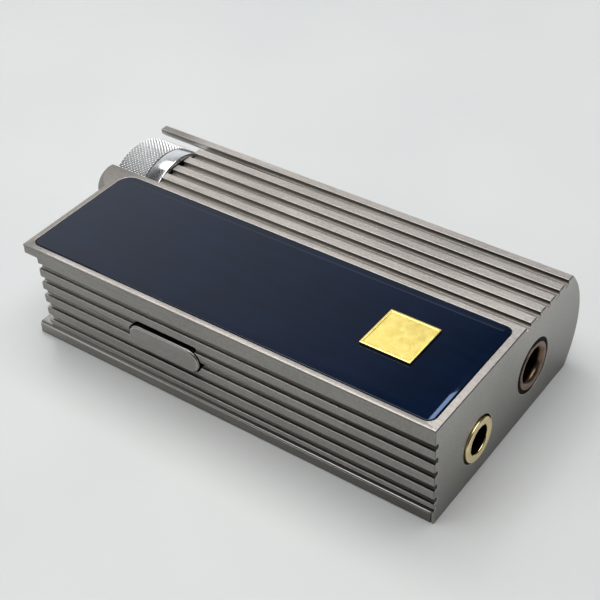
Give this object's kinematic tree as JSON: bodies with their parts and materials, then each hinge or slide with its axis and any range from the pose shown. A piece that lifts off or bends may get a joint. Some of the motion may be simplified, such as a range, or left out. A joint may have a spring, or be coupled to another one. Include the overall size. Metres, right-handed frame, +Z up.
{
  "type": "pocket dac and headphone amplifier",
  "caption": "Pocket DAC and headphone amplifier in a ribbed metal shell with a glass top, a guarded knurled volume knob, a side button, headphone sockets and a USB-C inlet.",
  "frame": {"origin": "under the middle of the bounding box, on the plane the base rests on", "axes": "+X along the length to the headphone sockets, +Y to the rounded far side away from the button, +Z up through the glass"},
  "size_m": [0.0684, 0.0368, 0.0162],
  "materials": {
    "titanium": "fine-blasted bare titanium with hairline machining",
    "dark_glass": "opaque navy-backed glass, polished",
    "adhesive_film": "thin black bonding film",
    "gilt": "satin gilt plate",
    "knob_chrome": "polished metal",
    "gold_plating": "gold-plated",
    "bronze_plating": "bronze-toned plating",
    "nickel_steel": "nickel-plated steel",
    "can_aluminium": "plain aluminium can",
    "black_plastic": "moulded black plastic",
    "circuit_board": "green solder mask on fibre board",
    "ferrite": "pressed ferrite powder"
  },
  "bodies": {
    "housing": {"amp_chip_left": "black_plastic", "amp_chip_right": "black_plastic", "attenuator_body": "black_plastic", "attenuator_nut": "nickel_steel", "attenuator_washer": "nickel_steel", "badge_plate": "gilt", "base_plate": "titanium", "base_screw_1": "nickel_steel", "base_screw_2": "nickel_steel", "base_screw_3": "nickel_steel", "base_screw_4": "nickel_steel", "body_shell": "titanium", "capacitor_1": "can_aluminium", "capacitor_2": "can_aluminium", "capacitor_3": "can_aluminium", "capacitor_4": "can_aluminium", "dac_chip": "black_plastic", "glass_adhesive": "adhesive_film", "glass_panel": "dark_glass", "inductor_1": "ferrite", "inductor_2": "ferrite", "jack_3_5_body": "black_plastic", "jack_3_5_bush": "gold_plating", "jack_4_4_body": "black_plastic", "jack_4_4_bush": "bronze_plating", "jack_4_4_collar": "black_plastic", "main_board": "circuit_board", "oscillator_1": "can_aluminium", "oscillator_2": "can_aluminium", "regulator_chip": "black_plastic", "shield_can": "nickel_steel", "switch_board": "circuit_board", "switch_body": "nickel_steel", "usb_bridge_chip": "black_plastic", "usb_c_shell": "nickel_steel", "usb_c_tongue": "black_plastic"},
    "knob": {"volume_knob": "knob_chrome", "knob_ring": "knob_chrome", "attenuator_shaft": "nickel_steel"},
    "button": {"side_button": "titanium", "switch_plunger": "black_plastic"}
  },
  "joints": [
    {"name": "volume_turn", "type": "hinge", "parent": "housing", "child": "knob", "pos_m": [-0.0313, 0.00825, 0.0082], "axis": [1, 0, 0], "range_deg": [-150, 150]},
    {"name": "button_press", "type": "slide", "parent": "housing", "child": "button", "axis": [0, 1, 0], "range_m": [0, 0.0004], "stiffness_N_per_m": 1500}
  ]
}
